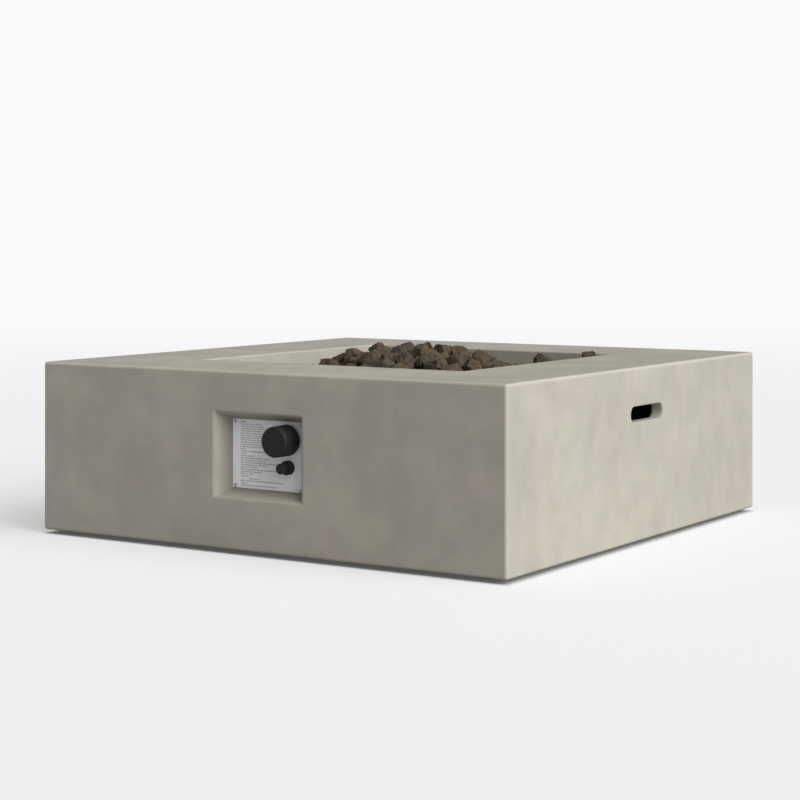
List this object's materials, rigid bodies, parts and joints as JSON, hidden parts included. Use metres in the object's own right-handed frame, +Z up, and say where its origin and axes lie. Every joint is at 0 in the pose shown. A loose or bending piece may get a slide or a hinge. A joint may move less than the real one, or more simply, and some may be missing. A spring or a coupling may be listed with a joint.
{
  "type": "gas fire table",
  "caption": "Low square cast-concrete gas fire table with a well of lava rock, a recessed control panel with knob and push-button igniter, and hand slots in the sides.",
  "frame": {"origin": "on the ground under the middle of the shell", "axes": "+Z up, +X to the right and +Y to the back, seen from the side with the controls"},
  "size_m": [1.067, 1.08, 0.3666],
  "materials": {
    "concrete": "cast, sealed, soft mottled grey",
    "galvanised_steel": "zinc plated",
    "stainless_steel": "brushed",
    "brass": "machined",
    "die_cast_zinc": "as cast",
    "black_plastic": "moulded, satin",
    "printed_plate": "satin with a printed panel of unreadable rows",
    "white_ceramic": "glazed",
    "battery_wrap": "shrink sleeve",
    "lead_sleeve": "silicone sleeve",
    "copper": "drawn tube",
    "hose_rubber": "smooth hose",
    "lava_rock": "rough, porous, brown grey"
  },
  "bodies": {
    "base": {"concrete_shell": "concrete", "control_plate": "printed_plate", "valve_body": "die_cast_zinc", "valve_return_spring": "stainless_steel", "safety_magnet_unit": "brass", "valve_screw_left": "stainless_steel", "valve_screw_right": "stainless_steel", "igniter_body": "black_plastic", "igniter_nut": "die_cast_zinc", "igniter_spring": "stainless_steel", "igniter_battery": "battery_wrap", "burner_pan": "stainless_steel", "burner_ring": "stainless_steel", "burner_nipple": "brass", "burner_upper_nut": "brass", "burner_lower_nut": "brass", "air_mixer": "brass", "orifice_elbow": "brass", "sensor_bracket": "stainless_steel", "sensor_bracket_screw": "stainless_steel", "electrode_insulator": "white_ceramic", "electrode_tip": "stainless_steel", "thermocouple_tip": "stainless_steel", "ignition_lead": "lead_sleeve", "thermocouple_nut": "brass", "thermocouple_lead": "copper", "burner_hose": "hose_rubber", "supply_hose": "hose_rubber", "inlet_bracket": "galvanised_steel", "inlet_bulkhead": "brass", "inlet_bulkhead_nut": "brass", "inlet_bracket_screw_left": "stainless_steel", "inlet_bracket_screw_right": "stainless_steel", "lava_rock_bed": "lava_rock", "plate_screw_1": "stainless_steel", "plate_screw_2": "stainless_steel", "plate_screw_3": "stainless_steel", "plate_screw_4": "stainless_steel", "foot_insert_fl": "die_cast_zinc", "foot_insert_fr": "die_cast_zinc", "foot_insert_bl": "die_cast_zinc", "foot_insert_br": "die_cast_zinc"},
    "foot_fl": {"foot_stud_fl": "galvanised_steel", "foot_pad_fl": "black_plastic"},
    "foot_fr": {"foot_stud_fr": "galvanised_steel", "foot_pad_fr": "black_plastic"},
    "foot_bl": {"foot_stud_bl": "galvanised_steel", "foot_pad_bl": "black_plastic"},
    "foot_br": {"foot_stud_br": "galvanised_steel", "foot_pad_br": "black_plastic"},
    "valve_push": {"safety_push_pin": "brass"},
    "valve_turn": {"control_knob": "black_plastic", "valve_stem": "brass"},
    "igniter_press": {"igniter_button": "black_plastic"},
    "shutter": {"air_shutter": "stainless_steel"}
  },
  "joints": [
    {"name": "foot_fl_screw", "type": "slide", "parent": "base", "child": "foot_fl", "axis": [0, 0, -1], "range_m": [0, 0.012]},
    {"name": "foot_fr_screw", "type": "slide", "parent": "base", "child": "foot_fr", "axis": [0, 0, -1], "range_m": [0, 0.012]},
    {"name": "foot_bl_screw", "type": "slide", "parent": "base", "child": "foot_bl", "axis": [0, 0, -1], "range_m": [0, 0.012]},
    {"name": "foot_br_screw", "type": "slide", "parent": "base", "child": "foot_br", "axis": [0, 0, -1], "range_m": [0, 0.012]},
    {"name": "knob_push", "type": "slide", "parent": "base", "child": "valve_push", "axis": [0, 1, 0], "range_m": [0, 0.003], "stiffness_N_per_m": 1500, "springref_m": -0.002, "deforming": ["valve_return_spring"]},
    {"name": "knob_turn", "type": "hinge", "parent": "valve_push", "child": "valve_turn", "pos_m": [0.0475, -0.5, 0.2165], "axis": [0, -1, 0], "range_deg": [0, 180]},
    {"name": "igniter_push", "type": "slide", "parent": "base", "child": "igniter_press", "axis": [0, 1, 0], "range_m": [0, 0.004], "stiffness_N_per_m": 1200, "springref_m": -0.003, "deforming": ["igniter_spring"]},
    {"name": "shutter_turn", "type": "hinge", "parent": "base", "child": "shutter", "pos_m": [0, 0, 0.146], "axis": [0, 0, 1], "range_deg": [0, 45]}
  ]
}
